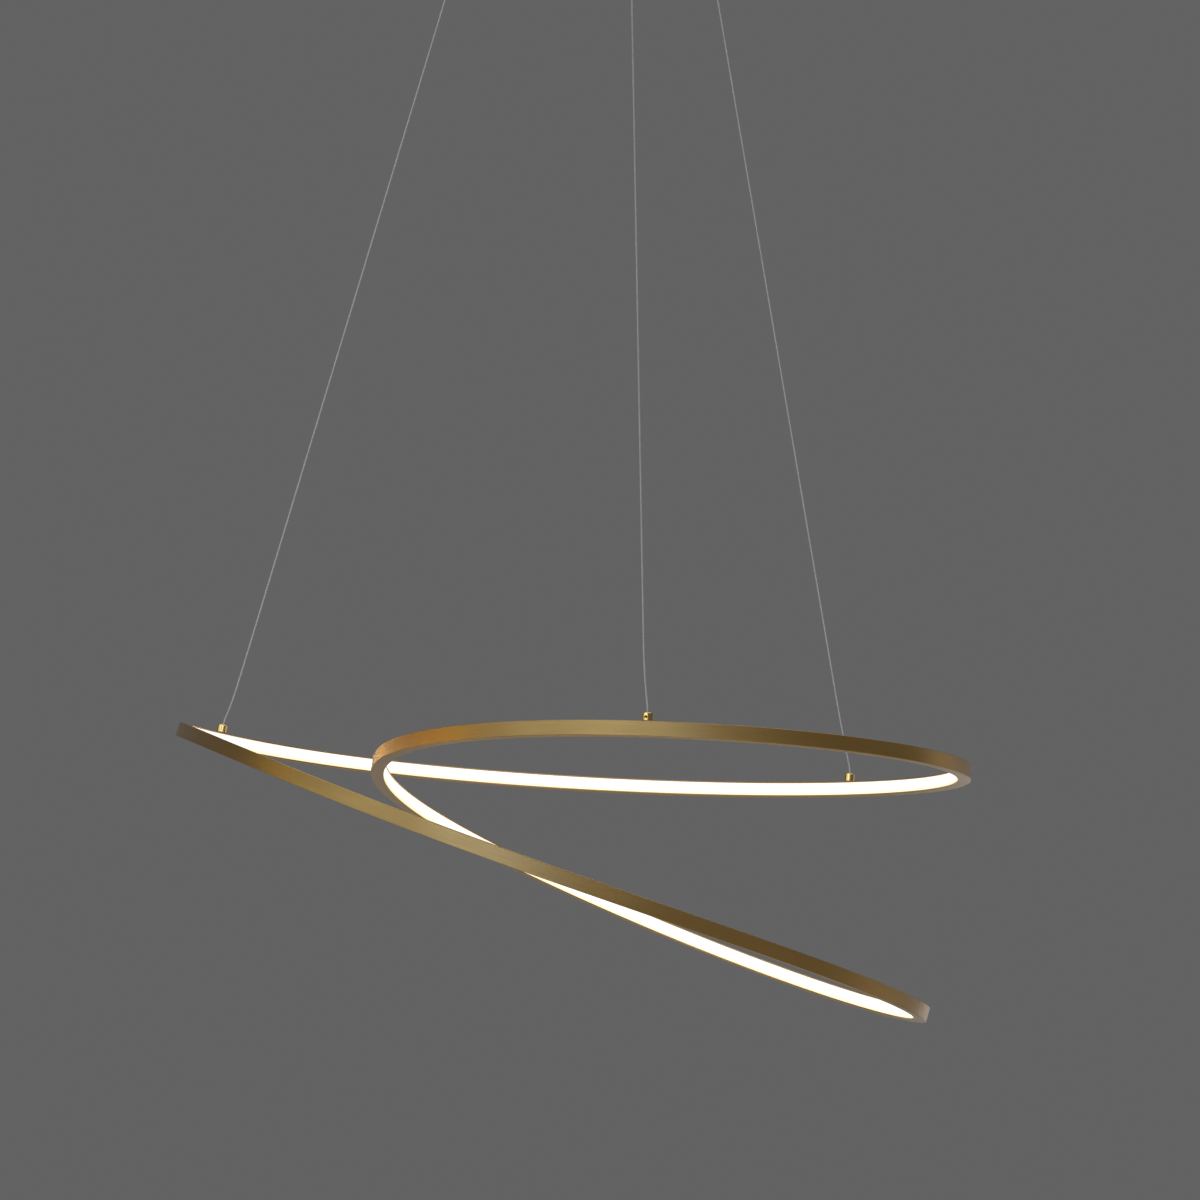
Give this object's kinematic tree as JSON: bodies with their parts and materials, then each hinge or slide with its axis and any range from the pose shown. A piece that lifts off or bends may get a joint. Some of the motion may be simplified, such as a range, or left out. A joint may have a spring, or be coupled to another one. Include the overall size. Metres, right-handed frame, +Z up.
{
  "type": "led pendant light",
  "caption": "Pendant light: a satin gold channel bent into a closed double loop, lit on its inner side, hung by thin wires from a round ceiling canopy with releasable wire grippers.",
  "frame": {"origin": "on the ceiling, at the middle of the bracket's two slots, over the canopy's middle", "axes": "+Z up, +X to the right and +Y to the back as the picture sees the lamp"},
  "size_m": [0.7944, 0.662, 1.3466],
  "materials": {
    "gold_channel": "brushed satin gold anodised",
    "opal_diffuser": "opal, lit",
    "led_strip": "white strip with a pale yellow light line",
    "bare_aluminium": "mill",
    "polished_brass": "polished",
    "nylon": "natural nylon",
    "wire": "stranded, clear coated",
    "steel": "plain",
    "black_steel": "black oxide",
    "gold_canopy": "satin gold",
    "zinc_steel": "zinc plated",
    "white_plastic": "moulded"
  },
  "bodies": {
    "canopy": {"cable_clamp": "zinc_steel", "canopy_cover": "gold_canopy", "canopy_screws": "gold_canopy", "ceiling_bracket": "zinc_steel", "clamp_screws": "steel", "driver_screws": "steel", "gripper_body_front": "polished_brass", "gripper_body_left": "polished_brass", "gripper_body_right": "polished_brass", "gripper_nut_front": "polished_brass", "gripper_nut_left": "polished_brass", "gripper_nut_right": "polished_brass", "gripper_spring_front": "steel", "gripper_spring_left": "steel", "gripper_spring_right": "steel", "led_driver": "white_plastic", "suspension_wire_front": "wire", "suspension_wire_left": "wire", "suspension_wire_right": "wire", "terminal_block": "white_plastic"},
    "lamp": {"channel_lower_back": "gold_channel", "channel_lower_front": "gold_channel", "channel_upper_back": "gold_channel", "channel_upper_front": "gold_channel", "diffuser_lower_back": "opal_diffuser", "diffuser_lower_front": "opal_diffuser", "diffuser_upper_back": "opal_diffuser", "diffuser_upper_front": "opal_diffuser", "fitting_bush_front": "nylon", "fitting_bush_left": "nylon", "fitting_bush_right": "nylon", "fitting_nut_front": "polished_brass", "fitting_nut_left": "polished_brass", "fitting_nut_right": "polished_brass", "led_strip_lower_back": "led_strip", "led_strip_lower_front": "led_strip", "led_strip_upper_back": "led_strip", "led_strip_upper_front": "led_strip", "set_screw_front": "black_steel", "set_screw_left": "black_steel", "set_screw_right": "black_steel", "splice_lower_back": "bare_aluminium", "splice_lower_front": "bare_aluminium", "splice_upper_back": "bare_aluminium", "splice_upper_front": "bare_aluminium", "wire_fitting_front": "polished_brass", "wire_fitting_left": "polished_brass", "wire_fitting_right": "polished_brass"},
    "plunger_left": {"gripper_plunger_left": "polished_brass", "wedge_balls_left": "steel"},
    "plunger_front": {"gripper_plunger_front": "polished_brass", "wedge_balls_front": "steel"},
    "plunger_right": {"gripper_plunger_right": "polished_brass", "wedge_balls_right": "steel"}
  },
  "joints": [
    {"name": "height_adjust", "type": "slide", "parent": "canopy", "child": "lamp", "axis": [0, 0, 1], "range_m": [0, 0.6], "deforming": ["suspension_wire_left", "suspension_wire_front", "suspension_wire_right"]},
    {"name": "plunger_press_left", "type": "slide", "parent": "canopy", "child": "plunger_left", "axis": [0, 0, 1], "range_m": [0, 0.0025], "stiffness_N_per_m": 400, "springref_m": -0.003, "deforming": ["gripper_spring_left"]},
    {"name": "plunger_press_front", "type": "slide", "parent": "canopy", "child": "plunger_front", "axis": [0, 0, 1], "range_m": [0, 0.0025], "stiffness_N_per_m": 400, "springref_m": -0.003, "deforming": ["gripper_spring_front"]},
    {"name": "plunger_press_right", "type": "slide", "parent": "canopy", "child": "plunger_right", "axis": [0, 0, 1], "range_m": [0, 0.0025], "stiffness_N_per_m": 400, "springref_m": -0.003, "deforming": ["gripper_spring_right"]}
  ]
}
